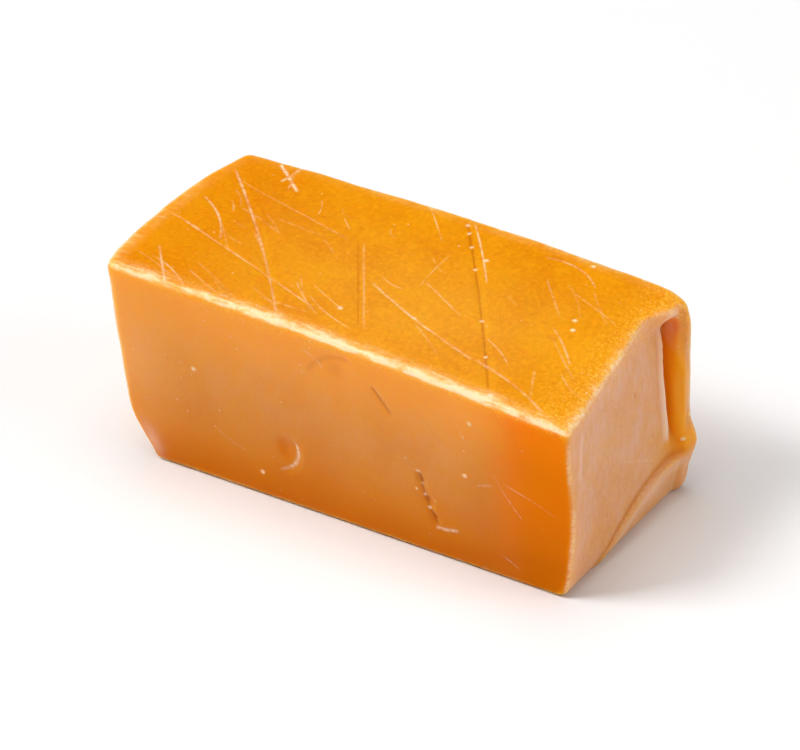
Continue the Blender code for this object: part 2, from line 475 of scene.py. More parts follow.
@dataclass
class LineLayers:
    """The scratches as numbers a vertex, in layers, so that scratches which cross stay apart.

    A scratch reaches the finish as its strength, and as the distance to its middle line in
    widths, which changes evenly between vertices, so that the line stays sharp.
    """

    vertices: int
    layers: int = 6
    strength_reach: float = 0.34
    offset_reach: float = 0.8
    past_ends: float = 1.1
    far_away: float = 9.0

    def __post_init__(self) -> None:
        """Start with empty layers."""
        self.strengths = np.zeros((self.vertices, self.layers))
        self.offsets = np.full((self.vertices, self.layers), self.far_away)
        self.taken = np.zeros((self.vertices, self.layers), dtype=bool)

    def add(self, scratch: Scratch, along: Numbers, aside: Numbers, facing: Numbers) -> None:
        """Draw a scratch into the layer with most room. One without depth is left out if none has room.

        Args:
            scratch: The scratch.
            along: How far along it each point is.
            aside: How far to its side each point is.
            facing: How far each point belongs to its face.
        """
        zone = (np.abs(aside) < self.offset_reach) & (np.abs(along) < self.past_ends) & (facing > 0.0)
        layer = int(np.argmin((self.taken & zone[:, None]).sum(axis=0)))
        if (self.taken[:, layer] & zone).any() and scratch.depth == 0.0:
            return
        close = zone & (np.abs(aside) < self.strength_reach)
        self.taken[zone, layer] = True
        self.offsets[zone, layer] = aside[zone] / scratch.width
        self.strengths[zone, layer] = 0.0
        self.strengths[close, layer] = (scratch.paleness * scratch.taper(along) * facing)[close]

    def numbers(self) -> dict[str, Numbers]:
        """Gather the layers, three of them to a vector.

        Returns:
            The vectors under the names that the finish reads.
        """
        return {
            "line_offset_a": self.offsets[:, :3],
            "line_strength_a": self.strengths[:, :3],
            "line_offset_b": self.offsets[:, 3:],
            "line_strength_b": self.strengths[:, 3:],
        }


@dataclass
class SurfaceMarks:
    """The marks on the long faces and the ends."""

    scratches: tuple[Scratch, ...] = (
        Scratch(Face.TOP, (-16.2, 5.7), (-4.2, -7.4), bow=0.3, width=0.13, depth=0.08, paleness=0.75),
        Scratch(Face.TOP, (-16.1, -1.1), (-2.3, -5.5), width=0.1, depth=0.04, paleness=0.6),
        Scratch(Face.TOP, (-15.9, 1.7), (-12.0, -2.2), bow=0.5, width=0.12, depth=0.04, paleness=0.7),
        Scratch(Face.TOP, (-15.0, -4.6), (-12.4, -7.8), width=0.12, depth=0.04, paleness=0.8),
        Scratch(Face.TOP, (-13.6, 7.3), (-10.7, 4.9), width=0.16, depth=0.06, paleness=1.2, beads=(0.1,)),
        Scratch(Face.TOP, (-12.4, 5.4), (-12.0, 7.5), width=0.13, depth=0.04, paleness=1.0),
        Scratch(Face.TOP, (-13.7, 4.0), (-4.6, 1.9), width=0.09, depth=0.02, paleness=0.35),
        Scratch(Face.TOP, (-4.4, 2.3), (0.8, -5.8), width=0.1, depth=0.04, paleness=-0.3),
        Scratch(Face.TOP, (-3.9, 2.2), (1.3, -5.9), width=0.1, depth=0.0, paleness=0.35),
        Scratch(
            Face.TOP,
            (-1.2, -1.2),
            (8.9, -4.9),
            bow=-0.3,
            width=0.12,
            depth=0.04,
            paleness=0.7,
            beads=(-0.1,),
        ),
        Scratch(Face.TOP, (8.6, -4.7), (15.1, -7.1), bow=0.3, width=0.13, depth=0.04, paleness=0.6),
        Scratch(
            Face.TOP,
            (0.2, 7.9),
            (11.5, -7.6),
            bow=0.15,
            width=0.12,
            depth=0.08,
            paleness=-0.42,
            beads=(-0.97, -0.88, -0.79, -0.63, -0.37, 0.2, 0.57),
        ),
        Scratch(Face.TOP, (1.0, 7.6), (5.4, 2.0), bow=0.1, width=0.1, depth=0.0, paleness=0.7),
        Scratch(Face.TOP, (7.0, 6.4), (11.5, 5.1), bow=0.7, width=0.1, depth=0.03, paleness=0.6),
        Scratch(Face.NEAR, (-3.1, 5.1), (-4.5, 2.5), bow=0.7, width=0.22, depth=0.1, paleness=1.1),
        Scratch(Face.NEAR, (-2.0, 11.0), (1.4, 12.9), bow=0.6, width=0.33, depth=0.07, paleness=-0.2),
        Scratch(Face.NEAR, (2.8, 11.6), (4.2, 9.8), width=0.16, depth=0.09, paleness=-0.5),
        Scratch(
            Face.NEAR,
            (6.1, 6.4),
            (7.4, 2.4),
            bow=-0.15,
            width=0.17,
            depth=0.12,
            paleness=-0.5,
            beads=(-0.95, -0.5, -0.1, 0.35),
        ),
        Scratch(Face.NEAR, (7.2, 2.3), (8.9, 2.5), bow=-0.1, width=0.2, depth=0.08, paleness=1.0),
        Scratch(Face.NEAR, (10.4, 6.7), (11.6, 7.1), width=0.13, depth=0.05, paleness=0.45),
        Scratch(Face.FAR, (-12.5, 10.8), (-6.0, 3.4), bow=0.5, width=0.13, depth=0.07, paleness=0.6),
        Scratch(Face.FAR, (-2.0, 12.2), (3.6, 4.6), bow=-0.3, width=0.13, depth=0.09, paleness=-0.6),
        Scratch(Face.FAR, (5.0, 5.2), (13.2, 9.4), bow=0.4, width=0.1, depth=0.04, paleness=0.6),
        Scratch(Face.FAR, (8.6, 12.4), (10.0, 9.0), width=0.1, depth=0.04, paleness=0.5),
        Scratch(Face.LEFT, (-3.5, 11.6), (2.0, 9.0), bow=0.3, width=0.1, depth=0.03, paleness=0.4),
        Scratch(Face.RIGHT, (-4.8, 4.0), (-2.6, 8.2), bow=0.2, width=0.09, depth=0.02, paleness=0.25),
    )
    hairlines: tuple[Hairlines, ...] = (
        Hairlines(Face.TOP, 56, seed=11),
        Hairlines(Face.NEAR, 10, seed=12),
        Hairlines(Face.FAR, 36, seed=13),
        Hairlines(Face.LEFT, 10, seed=14),
        Hairlines(Face.RIGHT, 8, seed=15),
    )
    specks: tuple[Speck, ...] = (
        Speck(Face.TOP, (4.0, 4.2)),
        Speck(Face.TOP, (10.2, 7.0)),
        Speck(Face.TOP, (12.1, 1.6)),
        Speck(Face.TOP, (12.5, 0.7)),
        Speck(Face.TOP, (-1.3, -4.6)),
        Speck(Face.TOP, (11.4, -7.3), radius=0.27),
        Speck(Face.NEAR, (-10.6, 8.2)),
        Speck(Face.NEAR, (9.6, 7.2)),
        Speck(Face.NEAR, (10.1, 11.4)),
        Speck(Face.NEAR, (-5.7, 1.9)),
        Speck(Face.NEAR, (-3.9, 4.6), radius=0.62, height=-0.24, paleness=-0.8),
        Speck(Face.NEAR, (-3.8, 3.8), radius=0.55, height=-0.12, paleness=-0.5),
        Speck(Face.NEAR, (0.1, 11.8), radius=1.2, height=-0.14, paleness=-0.27),
        Speck(Face.NEAR, (-2.3, 11.0), radius=0.2, paleness=0.8),
        Speck(Face.NEAR, (6.3, 5.6), radius=0.3, height=-0.14, paleness=-0.5),
        Speck(Face.NEAR, (6.9, 4.3), radius=0.36, height=-0.16, paleness=-0.6),
        Speck(Face.NEAR, (7.3, 3.0), radius=0.3, height=-0.14, paleness=-0.6),
        Speck(Face.NEAR, (6.0, 4.9), radius=0.17, paleness=1.1),
        Speck(Face.NEAR, (7.3, 4.4), radius=0.16, paleness=1.1),
        Speck(Face.NEAR, (5.2, 7.0), radius=0.16, paleness=1.0),
        Speck(Face.FAR, (-8.0, 9.6)),
        Speck(Face.FAR, (1.5, 3.1)),
        Speck(Face.FAR, (11.8, 4.4), radius=0.6, height=-0.1, paleness=0.0),
        # raised burrs at the hub, painted very pale as glints
        Speck(Face.RIGHT, (7.6, 4.9), radius=0.24, height=0.12, paleness=2.2),
        Speck(Face.RIGHT, (6.85, 5.9), radius=0.17, height=0.08, paleness=1.6),
        Speck(Face.RIGHT, (6.0, 4.5), radius=0.17, height=0.08, paleness=1.6),
        Speck(Face.RIGHT, (1.6, 10.2), radius=0.3, height=-0.08, paleness=-0.4),
        Speck(Face.LEFT, (5.8, 5.4), radius=0.22, height=0.1, paleness=1.6),
    )

    def engrave(self, points: Numbers, normals: Numbers) -> tuple[Numbers, dict[str, Numbers]]:
        """Press the marks into the bar.

        Args:
            points: Rows of x, y and z.
            normals: The outward direction at each point.

        Returns:
            The moved points, and the numbers a vertex that the finish reads, by name.
        """
        moved = points.copy()
        layers = LineLayers(len(points))
        hairs = [hair for hairlines in self.hairlines for hair in hairlines.draw()]
        for scratch in (*self.scratches, *hairs):
            facing = scratch.face.facing(normals)
            along, aside = scratch.trace(points)
            sunk = scratch.depth * scratch.profile(aside) * scratch.taper(along) * facing
            moved -= sunk[:, None] * normals
            layers.add(scratch, along, aside, facing)
        pale = np.zeros(len(points))
        beads = [burr for scratch in self.scratches for burr in scratch.burrs()]
        for speck in (*self.specks, *beads):
            spot = speck.spot(points, normals)
            moved += (speck.height * spot)[:, None] * normals
            pale += speck.paleness * spot
        return moved, layers.numbers() | {"speck": pale}


@dataclass(frozen=True)
class Patches:
    """A soft noise: its patches' size in millimetres, and what its range of values becomes.

    A turn about the vertical, in radians, and a scale on each axis stretch it into streaks.
    """

    size: float
    detail: float = 3.0
    values: Place = (0.0, 1.0)
    shares: Place = (0.0, 1.0)
    turn: float = 0.0
    stretch: Triple | None = None


class Nodes:
    """A short way to add the nodes of one material and join them."""

    def __init__(self, material: bpy.types.Material) -> None:
        """Take the material's nodes, and add the object's own coordinates.

        Args:
            material: A material with its usual shader.
        """
        self.tree = material.node_tree
        self.shader = self.tree.nodes["Principled BSDF"]
        self.place = self.tree.nodes.new("ShaderNodeTexCoord").outputs["Object"]

    def plug(self, value: object, socket: Socket) -> None:
        """Join an output to a socket, or set the socket to a plain value.

        Args:
            value: The output or the plain value.
            socket: The socket.
        """
        if isinstance(value, Socket):
            self.tree.links.new(value, socket)
        else:
            socket.default_value = value

    def math(self, operation: str, *values: object, clamp: bool = False) -> Socket:
        """Add a Math node.

        Args:
            operation: The name of the sum.
            values: Its inputs, each an output to join or a number.
            clamp: Whether the result is kept between 0 and 1.

        Returns:
            The node's output.
        """
        node = self.tree.nodes.new("ShaderNodeMath")
        node.operation = operation
        node.use_clamp = clamp
        for value, socket in zip(values, node.inputs):
            self.plug(value, socket)
        return node.outputs[0]

    def times(self, first: object, second: object, clamp: bool = False) -> Socket:
        """Multiply two values, and keep the result between 0 and 1 if asked."""
        return self.math("MULTIPLY", first, second, clamp=clamp)

    def attribute(self, name: str) -> bpy.types.Node:
        """Add a node that reads what the mesh keeps at each vertex.

        Args:
            name: The name that it is kept under.

        Returns:
            The node.
        """
        node = self.tree.nodes.new("ShaderNodeAttribute")
        node.attribute_name = name
        return node

    def number(self, name: str) -> Socket:
        """Read a number that the mesh keeps at each vertex."""
        return self.attribute(name).outputs["Fac"]

    def vector(self, name: str) -> list[Socket]:
        """Read the three numbers of a vector that the mesh keeps at each vertex."""
        return self.split(self.attribute(name).outputs["Vector"])

    def split(self, vector: Socket) -> list[Socket]:
        """Split a vector.

        Args:
            vector: The vector, or a colour.

        Returns:
            Its three numbers.
        """
        node = self.tree.nodes.new("ShaderNodeSeparateXYZ")
        self.plug(vector, node.inputs[0])
        return list(node.outputs)

    def band(self, value: Socket, start: float, end: float, low: float = 0.0, high: float = 1.0) -> Socket:
        """Map a number from one range to another, along an S-curve and no further.

        Args:
            value: The number.
            start: Where the first range starts.
            end: Where it ends.
            low: What start becomes.
            high: What end becomes.

        Returns:
            The mapped number.
        """
        node = self.tree.nodes.new("ShaderNodeMapRange")
        node.interpolation_type = "SMOOTHSTEP"
        for given, socket in zip((value, start, end, low, high), node.inputs):
            self.plug(given, socket)
        return node.outputs[0]

    def mix(self, share: object, under: object, over: object) -> Socket:
        """Lay one colour over another.

        Args:
            share: How much of the upper colour shows.
            under: The colour below.
            over: The colour above.

        Returns:
            The mixed colour.
        """
        node = self.tree.nodes.new("ShaderNodeMix")
        node.data_type = "RGBA"
        self.plug(share, node.inputs["Factor"])
        self.plug(under, node.inputs[6])
        self.plug(over, node.inputs[7])
        return node.outputs[2]

    def noise(self, patches: Patches) -> Socket:
        """Add a soft noise over the object's own coordinates.

        Args:
            patches: Its size, its detail and how it is stretched.

        Returns:
            Its value, about 0.5 on average.
        """
        place = self.place
        if patches.stretch is not None:
            mapping = self.tree.nodes.new("ShaderNodeMapping")
            mapping.inputs["Rotation"].default_value = (0.0, 0.0, patches.turn)
            mapping.inputs["Scale"].default_value = patches.stretch
            self.plug(place, mapping.inputs["Vector"])
            place = mapping.outputs[0]
        node = self.tree.nodes.new("ShaderNodeTexNoise")
        node.inputs["Scale"].default_value = 1.0 / (patches.size * MM)
        node.inputs["Detail"].default_value = patches.detail
        self.plug(place, node.inputs["Vector"])
        return node.outputs["Fac"]

    def patchy(self, patches: Patches) -> Socket:
        """Add a soft noise, with its values turned into shares."""
        return self.band(self.noise(patches), *patches.values, *patches.shares)

    def grains(self, size: float) -> bpy.types.Node:
        """Add scattered grains, one in each cell.

        Args:
            size: The size of a cell, in millimetres.

        Returns:
            The node.
        """
        node = self.tree.nodes.new("ShaderNodeTexVoronoi")
        node.inputs["Scale"].default_value = 1.0 / (size * MM)
        self.plug(self.place, node.inputs["Vector"])
        return node


@dataclass(frozen=True)
class ToffeeFinish:
    """Satin toffee that light sinks into, with pale edges, partly rubbed and partly a painted highlight,
    hairlines, faint blooming, and painted glow, shade and reflection.

    Colours are linear. The scatter is how far light of each colour travels inside, in
    millimetres, and bumps are heights in millimetres.
    """

    honey: Colour = (0.77, 0.30, 0.003, 1.0)
    amber: Colour = (0.72, 0.25, 0.002, 1.0)
    deep: Colour = (0.62, 0.145, 0.001, 1.0)
    glow: Colour = (0.92, 0.38, 0.005, 1.0)
    bloom_and_highlight: Colour = (0.95, 0.70, 0.46, 1.0)
    amberglow: Colour = (0.95, 0.36, 0.01, 1.0)
    worn_edge_highlight: Colour = (0.98, 0.67, 0.33, 1.0)
    # pale veil colour: a wrapper coating under a painted reflection of the pale surroundings
    film_and_reflection: Colour = (0.80, 0.455, 0.325, 1.0)
    # colour of the painted sheen streaks along the folds' edges
    rubbed: Colour = (0.93, 0.70, 0.60, 1.0)
    sugar_and_sheen: Colour = (1.0, 0.62, 0.08, 1.0)
    hairline: Colour = (0.40, 0.07, 0.003, 1.0)
    vivid: Colour = (0.93, 0.225, 0.001, 1.0)
    brim: Colour = (1.0, 0.37, 0.015, 1.0)
    margin: Colour = (0.93, 0.42, 0.075, 1.0)
    dent: Colour = (0.72, 0.20, 0.003, 1.0)
    scatter: Triple = (1.7, 1.2, 0.5)
    refraction: float = 1.42
    gloss: float = 0.38
    gloss_tint: Colour = (1.0, 0.84, 0.55, 1.0)
    dulling: float = 0.95
    roughness: Patches = Patches(1.6, 4.0, (0.3, 0.7), (0.30, 0.44))
    worn_roughness: float = 0.08
    batches: Patches = Patches(5.0, 4.0, (0.35, 0.65))
    mottle: Patches = Patches(0.3, 3.0, (0.4, 0.75), (0.0, 0.5))
    pores: Patches = Patches(0.4, 2.0, (0.42, 0.28), (0.0, 0.35))
    crust: Patches = Patches(0.16, 3.0, (0.42, 0.74))
    wavering: Patches = Patches(2.2, 6.0)
    film_and_reflection_patches: Patches = Patches(2.2, 3.0, (0.3, 0.7), (0.7, 1.2))
    film_and_reflection_streaks: Patches = Patches(0.3, 3.0, (0.32, 0.68), (0.78, 1.15), stretch=(1.0, 1.0, 0.3))
    line_breaks: Patches = Patches(0.4, 2.0, (0.36, 0.6), (0.4, 1.2))
    line_fading: Patches = Patches(2.5, 1.0, (0.36, 0.6), (0.45, 1.0))
    grain_size: float = 0.4
    grain_rims: Patches = Patches(0.1, 2.0)
    grain_crowds: Patches = Patches(3.5, 2.0, (0.42, 0.68), (0.97, 0.82))
    wear_and_highlight_patches: Patches = Patches(1.6, 3.0, (0.34, 0.6), (0.45, 1.0))
    wear_and_highlight_specks: Patches = Patches(0.25, 3.0, (0.38, 0.6), (0.7, 1.0))
    wear_and_highlight_streaks: Patches = Patches(
        0.22, 3.0, (0.38, 0.6), (0.58, 1.35), turn=0.12, stretch=(0.15, 1.0, 1.0)
    )
    pebbles: Patches = Patches(0.7, 3.0)
    pebble_bump: float = 0.04
    drawn_lines: Patches = Patches(0.5, 3.0, turn=0.9, stretch=(0.12, 1.0, 1.0))
    drawn_bump: float = 0.02
    hairline_bump: float = -0.06
    scratch_bump: float = 0.03
    speck_bump: float = 0.05
    bump_strength: float = 0.7

    def material(self) -> bpy.types.Material:
        """Build the toffee's material.

        Returns:
            The material.
        """
        material = bpy.data.materials.new("toffee finish")
        material.use_nodes = True
        ToffeePattern(self, Nodes(material)).dress()
        return material


@dataclass
class ToffeePattern:
    """The toffee's pattern: what the finish makes of fine noise and of the mesh's own numbers."""

    finish: ToffeeFinish
    nodes: Nodes

    def __post_init__(self) -> None:
        """Draw what the colour, the gloss and the relief share."""
        self.pale_line, self.dark_line = self.lines()
        self.specks = self.scattered()
        self.wear_and_highlight = self.scuffed_and_highlit()

    def dress(self) -> None:
        """Set up the shader."""
        finish, nodes, inputs = self.finish, self.nodes, self.nodes.shader.inputs
        nodes.plug(self.colour(), inputs["Base Color"])
        nodes.plug(self.satin(), inputs["Roughness"])
        nodes.plug(self.relief(), inputs["Normal"])
        inputs["Subsurface Weight"].default_value = 1.0
        inputs["Subsurface Radius"].default_value = finish.scatter
        inputs["Subsurface Scale"].default_value = MM
        inputs["IOR"].default_value = finish.refraction
        inputs["Specular IOR Level"].default_value = finish.gloss
        dulled = nodes.times(nodes.number("dull"), -finish.dulling * finish.gloss)
        nodes.plug(nodes.math("ADD", dulled, finish.gloss), inputs["Specular IOR Level"])
        inputs["Specular Tint"].default_value = finish.gloss_tint

    def lines(self) -> tuple[Socket, Socket]:
        """Draw the scratches from the numbers that the mesh keeps.

        Returns:
            How strongly pale scratches and dark hairlines show.
        """
        nodes = self.nodes
        broken = nodes.times(nodes.patchy(self.finish.line_breaks), nodes.patchy(self.finish.line_fading))
        pale, dark = 0.0, 0.0
        for layer in "ab":
            offsets = nodes.vector(f"line_offset_{layer}")
            strengths = nodes.vector(f"line_strength_{layer}")
            for offset, strength in zip(offsets, strengths):
                line = nodes.math("SUBTRACT", 1.0, nodes.math("ABSOLUTE", offset), clamp=True)
                shown = nodes.times(line, strength)
                pale = nodes.math("MAXIMUM", pale, shown)
                dark = nodes.math("MINIMUM", dark, shown)
        return nodes.times(pale, broken), nodes.times(dark, -1.0)

    def scattered(self) -> Socket:
        """Scatter pale specks: the burrs of the mesh, and fine grains that gather in patches.

        Returns:
            How strongly specks show.
        """
        finish, nodes = self.finish, self.nodes
        grains = nodes.grains(finish.grain_size)
        chosen, size, _ = nodes.split(grains.outputs["Color"])
        ragged = nodes.times(nodes.noise(finish.grain_rims), 0.16)
        grain = nodes.band(nodes.math("ADD", grains.outputs["Distance"], ragged), 0.27, 0.14)
        crowded = nodes.math(
            "SUBTRACT", nodes.patchy(finish.grain_crowds), nodes.times(nodes.number("granular"), 0.33)
        )
        present = nodes.math("GREATER_THAN", chosen, crowded)
        fine = nodes.times(nodes.times(grain, present), size)
        return nodes.math("MAXIMUM", fine, nodes.band(nodes.number("speck"), 0.45, 1.1))

    def scuffed_and_highlit(self) -> Socket:
        """Scuff the edges unevenly, and paint a highlight along them.

        Returns:
            How strongly an edge is rubbed pale or painted with a highlight.
        """
        finish, nodes = self.finish, self.nodes
        speckled = nodes.times(nodes.patchy(finish.wear_and_highlight_specks), nodes.patchy(finish.wear_and_highlight_streaks))
        return nodes.times(nodes.number("worn_and_highlit"), nodes.times(nodes.patchy(finish.wear_and_highlight_patches), speckled))

    def filmed_and_reflecting(self) -> Socket:
        """Streak the pale veil, partly a wrapper coating and mostly a painted reflection.

        Returns:
            How strongly the veil shows.
        """
        finish, nodes = self.finish, self.nodes
        uneven = nodes.times(nodes.patchy(finish.film_and_reflection_patches), nodes.patchy(finish.film_and_reflection_streaks))
        return nodes.times(nodes.number("film_and_reflection"), uneven, clamp=True)

    def colour(self) -> Socket:
        """Lay the toffee's colours over each other.

        Returns:
            The base colour.
        """
        finish, nodes = self.finish, self.nodes
        calm = nodes.math("SUBTRACT", 1.0, nodes.times(nodes.number("side"), 0.65))
        wavering = nodes.times(nodes.noise(finish.wavering), 0.7)
        rim = nodes.math("ADD", nodes.number("rim"), wavering)
        crust = nodes.times(nodes.patchy(finish.crust), nodes.number("granular"))
        hollow = nodes.number("hollow")
        colour = nodes.mix(nodes.patchy(finish.batches), finish.amber, finish.honey)
        for share, layer in (
            (nodes.times(nodes.patchy(finish.mottle), calm), finish.glow),
            (nodes.times(nodes.patchy(finish.pores), calm), finish.deep),
            # painted shade: the sides a little darker than the top
            (nodes.times(nodes.number("side"), 0.25), finish.deep),
            # painted sheen in the middle of the top
            (nodes.number("haze"), finish.sugar_and_sheen),
            # painted light: the sides lighter towards the left end
            (nodes.number("margin"), finish.margin),
            # painted glow under the upper edge of the sides
            (nodes.number("brim"), finish.brim),
            # painted glow: saturated orange where light would shine through near the bottom and the right
            # end of the sides
            (nodes.band(rim, 0.5, 1.2, 0.0, 0.92), finish.vivid),
            # painted shade low on the sides; darker towards the far and left of the top
            (nodes.times(nodes.number("low"), 0.95), finish.deep),
            # painted shade in hollows
            (nodes.band(hollow, 0.35, 1.0, 0.0, 0.6), finish.deep),
            # painted shade deep in the folds
            (nodes.times(nodes.number("fold_shade"), 0.75), finish.deep),
            # painted light on ridges
            (nodes.band(hollow, -0.15, -1.0, 0.0, 0.6), finish.glow),
            # pale veil: wrapper coating under a painted reflection
            (self.filmed_and_reflecting(), finish.film_and_reflection),
            # painted shade in the dents
            (nodes.band(nodes.number("speck"), -0.12, -0.5, 0.0, 0.85), finish.dent),
            # painted glow of light through the flap's thin wall and the hub
            (nodes.number("lit"), finish.amberglow),
            (nodes.times(crust, 0.55), finish.sugar_and_sheen),
            # painted sheen along the folds' edges
            (nodes.times(nodes.number("painted_sheen"), 0.6, clamp=True), finish.rubbed),
            # edges rubbed pale with a painted highlight over them; the next layer whitens the highlight's
            # core
            (nodes.times(self.wear_and_highlight, 0.85), finish.worn_edge_highlight),
            (nodes.band(self.wear_and_highlight, 0.06, 0.75, 0.0, 0.92), finish.bloom_and_highlight),
            (nodes.times(self.dark_line, 0.9, clamp=True), finish.hairline),
            (nodes.times(self.pale_line, 0.9, clamp=True), finish.bloom_and_highlight),
            (nodes.times(self.specks, 0.8, clamp=True), finish.bloom_and_highlight),
        ):
            colour = nodes.mix(share, colour, layer)
        return colour

    def satin(self) -> Socket:
        """Vary the gloss: patchy all over, and duller along the pale edges.

        Returns:
            The roughness.
        """
        worn_and_highlit = self.nodes.times(self.wear_and_highlight, self.finish.worn_roughness)
        return self.nodes.math("ADD", self.nodes.patchy(self.finish.roughness), worn_and_highlit)

    def relief(self) -> Socket:
        """Add the relief that is finer than the mesh.

        Returns:
            The normal.
        """
        finish, nodes = self.finish, self.nodes
        height = nodes.times(nodes.noise(finish.pebbles), finish.pebble_bump)
        for mark, bump in (
            (nodes.noise(finish.drawn_lines), finish.drawn_bump),
            (self.dark_line, finish.hairline_bump),
            (self.pale_line, finish.scratch_bump),
            (self.specks, finish.speck_bump),
        ):
            height = nodes.math("ADD", height, nodes.times(mark, bump))
        node = nodes.tree.nodes.new("ShaderNodeBump")
        node.inputs["Distance"].default_value = MM
        node.inputs["Strength"].default_value = finish.bump_strength
        nodes.plug(height, node.inputs["Height"])
        return node.outputs[0]


@dataclass
class SurfaceWeights:
    """How painted light and shade, the wrapper and wearing show over the bar, as weights that the finish
    reads.

    Sizes and places are in millimetres. The points are rows of x, y and z: as they lie on
    the finished bar, on the square bar, and on the squashed bar before it is folded. Every
    method gives one weight for each point, from 0 to 1 unless it says otherwise.
    """

    size: Triple
    points: Numbers
    square: Numbers
    squashed: Numbers
    normals: Numbers
    edges: Numbers
    right_film_and_reflection: float = 0.58
    left_film_and_reflection: float = 0.3
    near_film_and_reflection: float = 0.13
    bottom_rim: float = 0.7
    end_rim: Place = (8.8, 2.2)
    smoothing_rounds: int = 14
    full_hollow: float = 0.16

    def __post_init__(self) -> None:
        """Weigh which way each point faces, and how near the edges and the ends it lies."""
        half_length = self.size[0] / 2
        x, _, z = self.square.T
        facing_along, facing_aside, facing_up = self.normals.T
        self.up = rise(facing_up, 0.6, 0.95)
        self.side = rise(np.abs(facing_aside), 0.5, 0.85)
        self.long_faces = rise(np.abs(facing_along), 0.85, 0.5)
        self.on_end = rise(np.abs(x), half_length - 0.3, half_length - 0.12)
        self.right_end = self.on_end * (x > 0.0)
        self.far_margin = rise(self.points[:, 1], -1.0, 6.5)
        start, end = self.end_rim
        beside_end = rise(x, half_length - start, half_length - end)
        self.near_rim = np.maximum(self.bottom_rim * rise(z, 1.6, 0.5), beside_end)
        halves = np.array(self.size) / 2
        inwards = halves - np.abs(self.square - np.array((0.0, 0.0, halves[2])))
        self.from_edge = np.sort(inwards, axis=1)[:, 1]
        self.right_folds = RightFolds(*self.squashed.T[1:])
        self.left_folds = LeftFolds(*self.squashed.T[1:])

    def numbers(self) -> dict[str, Numbers]:
        """Gather the weights under the names that the finish reads.

        Returns:
            The weights by name.
        """
        return {
            "worn_and_highlit": self.worn_and_highlit(),
            "fold_shade": self.fold_shade(),
            "rim": self.near_rim * (1.0 - self.up) * self.long_faces,
            "dull": self.dull(),
            "brim": self.brim(),
            "side": self.side,
            "margin": 0.7 * self.side * rise(self.square[:, 0], -10.5, -17.5),
            "low": self.low(),
            "haze": self.haze(),
            "granular": self.granular(),
            "painted_sheen": self.painted_sheen(),
            "lit": self.right_end * self.right_folds.lit_wall(),
            "film_and_reflection": self.film_and_reflection(),
            "hollow": self.hollow(),
        }

    def worn_and_highlit(self) -> Numbers:
        """Weigh the pale edges, partly rubbed and partly a painted highlight: most along the near side of
        the top, least below.

        Returns:
            The weight of rubbed edge and painted highlight.
        """
        x, y, z = self.square.T
        down = self.size[2] - z
        along_top = 0.45 * rise(self.from_edge, 1.4, 0.3) + 0.55 * rise(self.from_edge, 0.55, 0.16)
        along_top *= 0.55 + 0.45 * rise(x, 17.0, 12.0)
        along_top *= 0.62 + 0.38 * rise(x, -13.0, -1.0)
        along_top *= (1.0 - 0.6 * rise(y, -1.0, 6.0)) * (1.0 - 0.35 * rise(x, -16.8, -17.4))
        beside = 0.5 * rise(self.from_edge, 0.42, 0.12) * (1.0 + 0.8 * rise(x, -16.5, -17.0))
        beside *= 1.0 - 0.7 * rise(y, 0.0, 6.0) * rise(x, 0.0, 10.0)
        return np.where(down < 1.0, along_top * rise(down, 0.48, 0.26), beside)

    def fold_shade(self) -> Numbers:
        """Weigh the painted shade deep in the folds of either end."""
        right, left = self.right_folds.shade(), self.left_folds.shade()
        return self.on_end * np.where(self.square[:, 0] > 0.0, right, left)

    def dull(self) -> Numbers:
        """Weigh where the gloss is lost: towards the edges of the top, and low on the sides.

        Returns:
            The weight.
        """
        x, _, z = self.points.T
        beside_ends = np.maximum(rise(x, -8.0, -14.0), rise(x, 9.0, 14.0))
        on_top = 0.95 * np.maximum(self.far_margin, beside_ends) * self.up
        on_side = np.maximum(self.near_rim, 0.75 * rise(z, 7.5, 1.5)) * (1.0 - self.up)
        return np.maximum(on_top, on_side) * self.long_faces

    def brim(self) -> Numbers:
        """Weigh where a painted glow lights the sides: towards their upper edge."""
        return 0.85 * rise(self.square[:, 2] / self.size[2], 0.45, 0.95) * (1.0 - self.up) * self.long_faces

    def low(self) -> Numbers:
        """Weigh where the toffee is painted darker: painted shade low on the sides and down their right
        part, and darker towards the far and left of the top.

        Returns:
            The weight.
        """
        x, _, z = self.points.T
        on_side = 0.45 * rise(z, 8.0, 2.0) + 0.5 * rise(z, 3.5, 0.0)
        on_side += (0.1 + 0.3 * rise(z, 12.5, 8.5)) * rise(x, 6.0, 15.0)
        on_top = 0.12 * self.far_margin + 0.28 * rise(x, -3.0, -15.0)
        return np.minimum(on_side * (1.0 - self.up) + on_top * self.up, 1.0) * self.long_faces

    def haze(self) -> Numbers:
        """Weigh where a painted sheen makes the top a little paler: in its middle."""
        return 0.12 * hump(self.points[:, 0], 4.0, 9.0) * hump(self.points[:, 1], -2.5, 5.0) * self.up

    def granular(self) -> Numbers:
        """Weigh where grains gather: along the top's edges, and most beside the right end.

        Returns:
            The weight.
        """
        x, y, z = self.points.T
        margin = 0.6 * rise(self.from_edge, 2.0, 0.4) * rise(y, 4.0, -2.0) * rise(x, -16.5, -10.0)
        return rise(z, 12.4, 13.4) * np.maximum(margin, rise(x, 12.5, 16.5))

    def painted_sheen(self) -> Numbers:
        """Weigh where a pale sheen is painted: along the edges of the right folds, and at one low corner.

        Returns:
            The weight, a little above 1 in places.
        """
        x, y, z = self.squashed.T
        low_corner = 0.6 * hump(x, -15.3, 0.8) * hump(z, 1.6, 1.1) * rise(y, -6.5, -7.2)
        return self.right_end * self.right_folds.painted_sheen() + low_corner

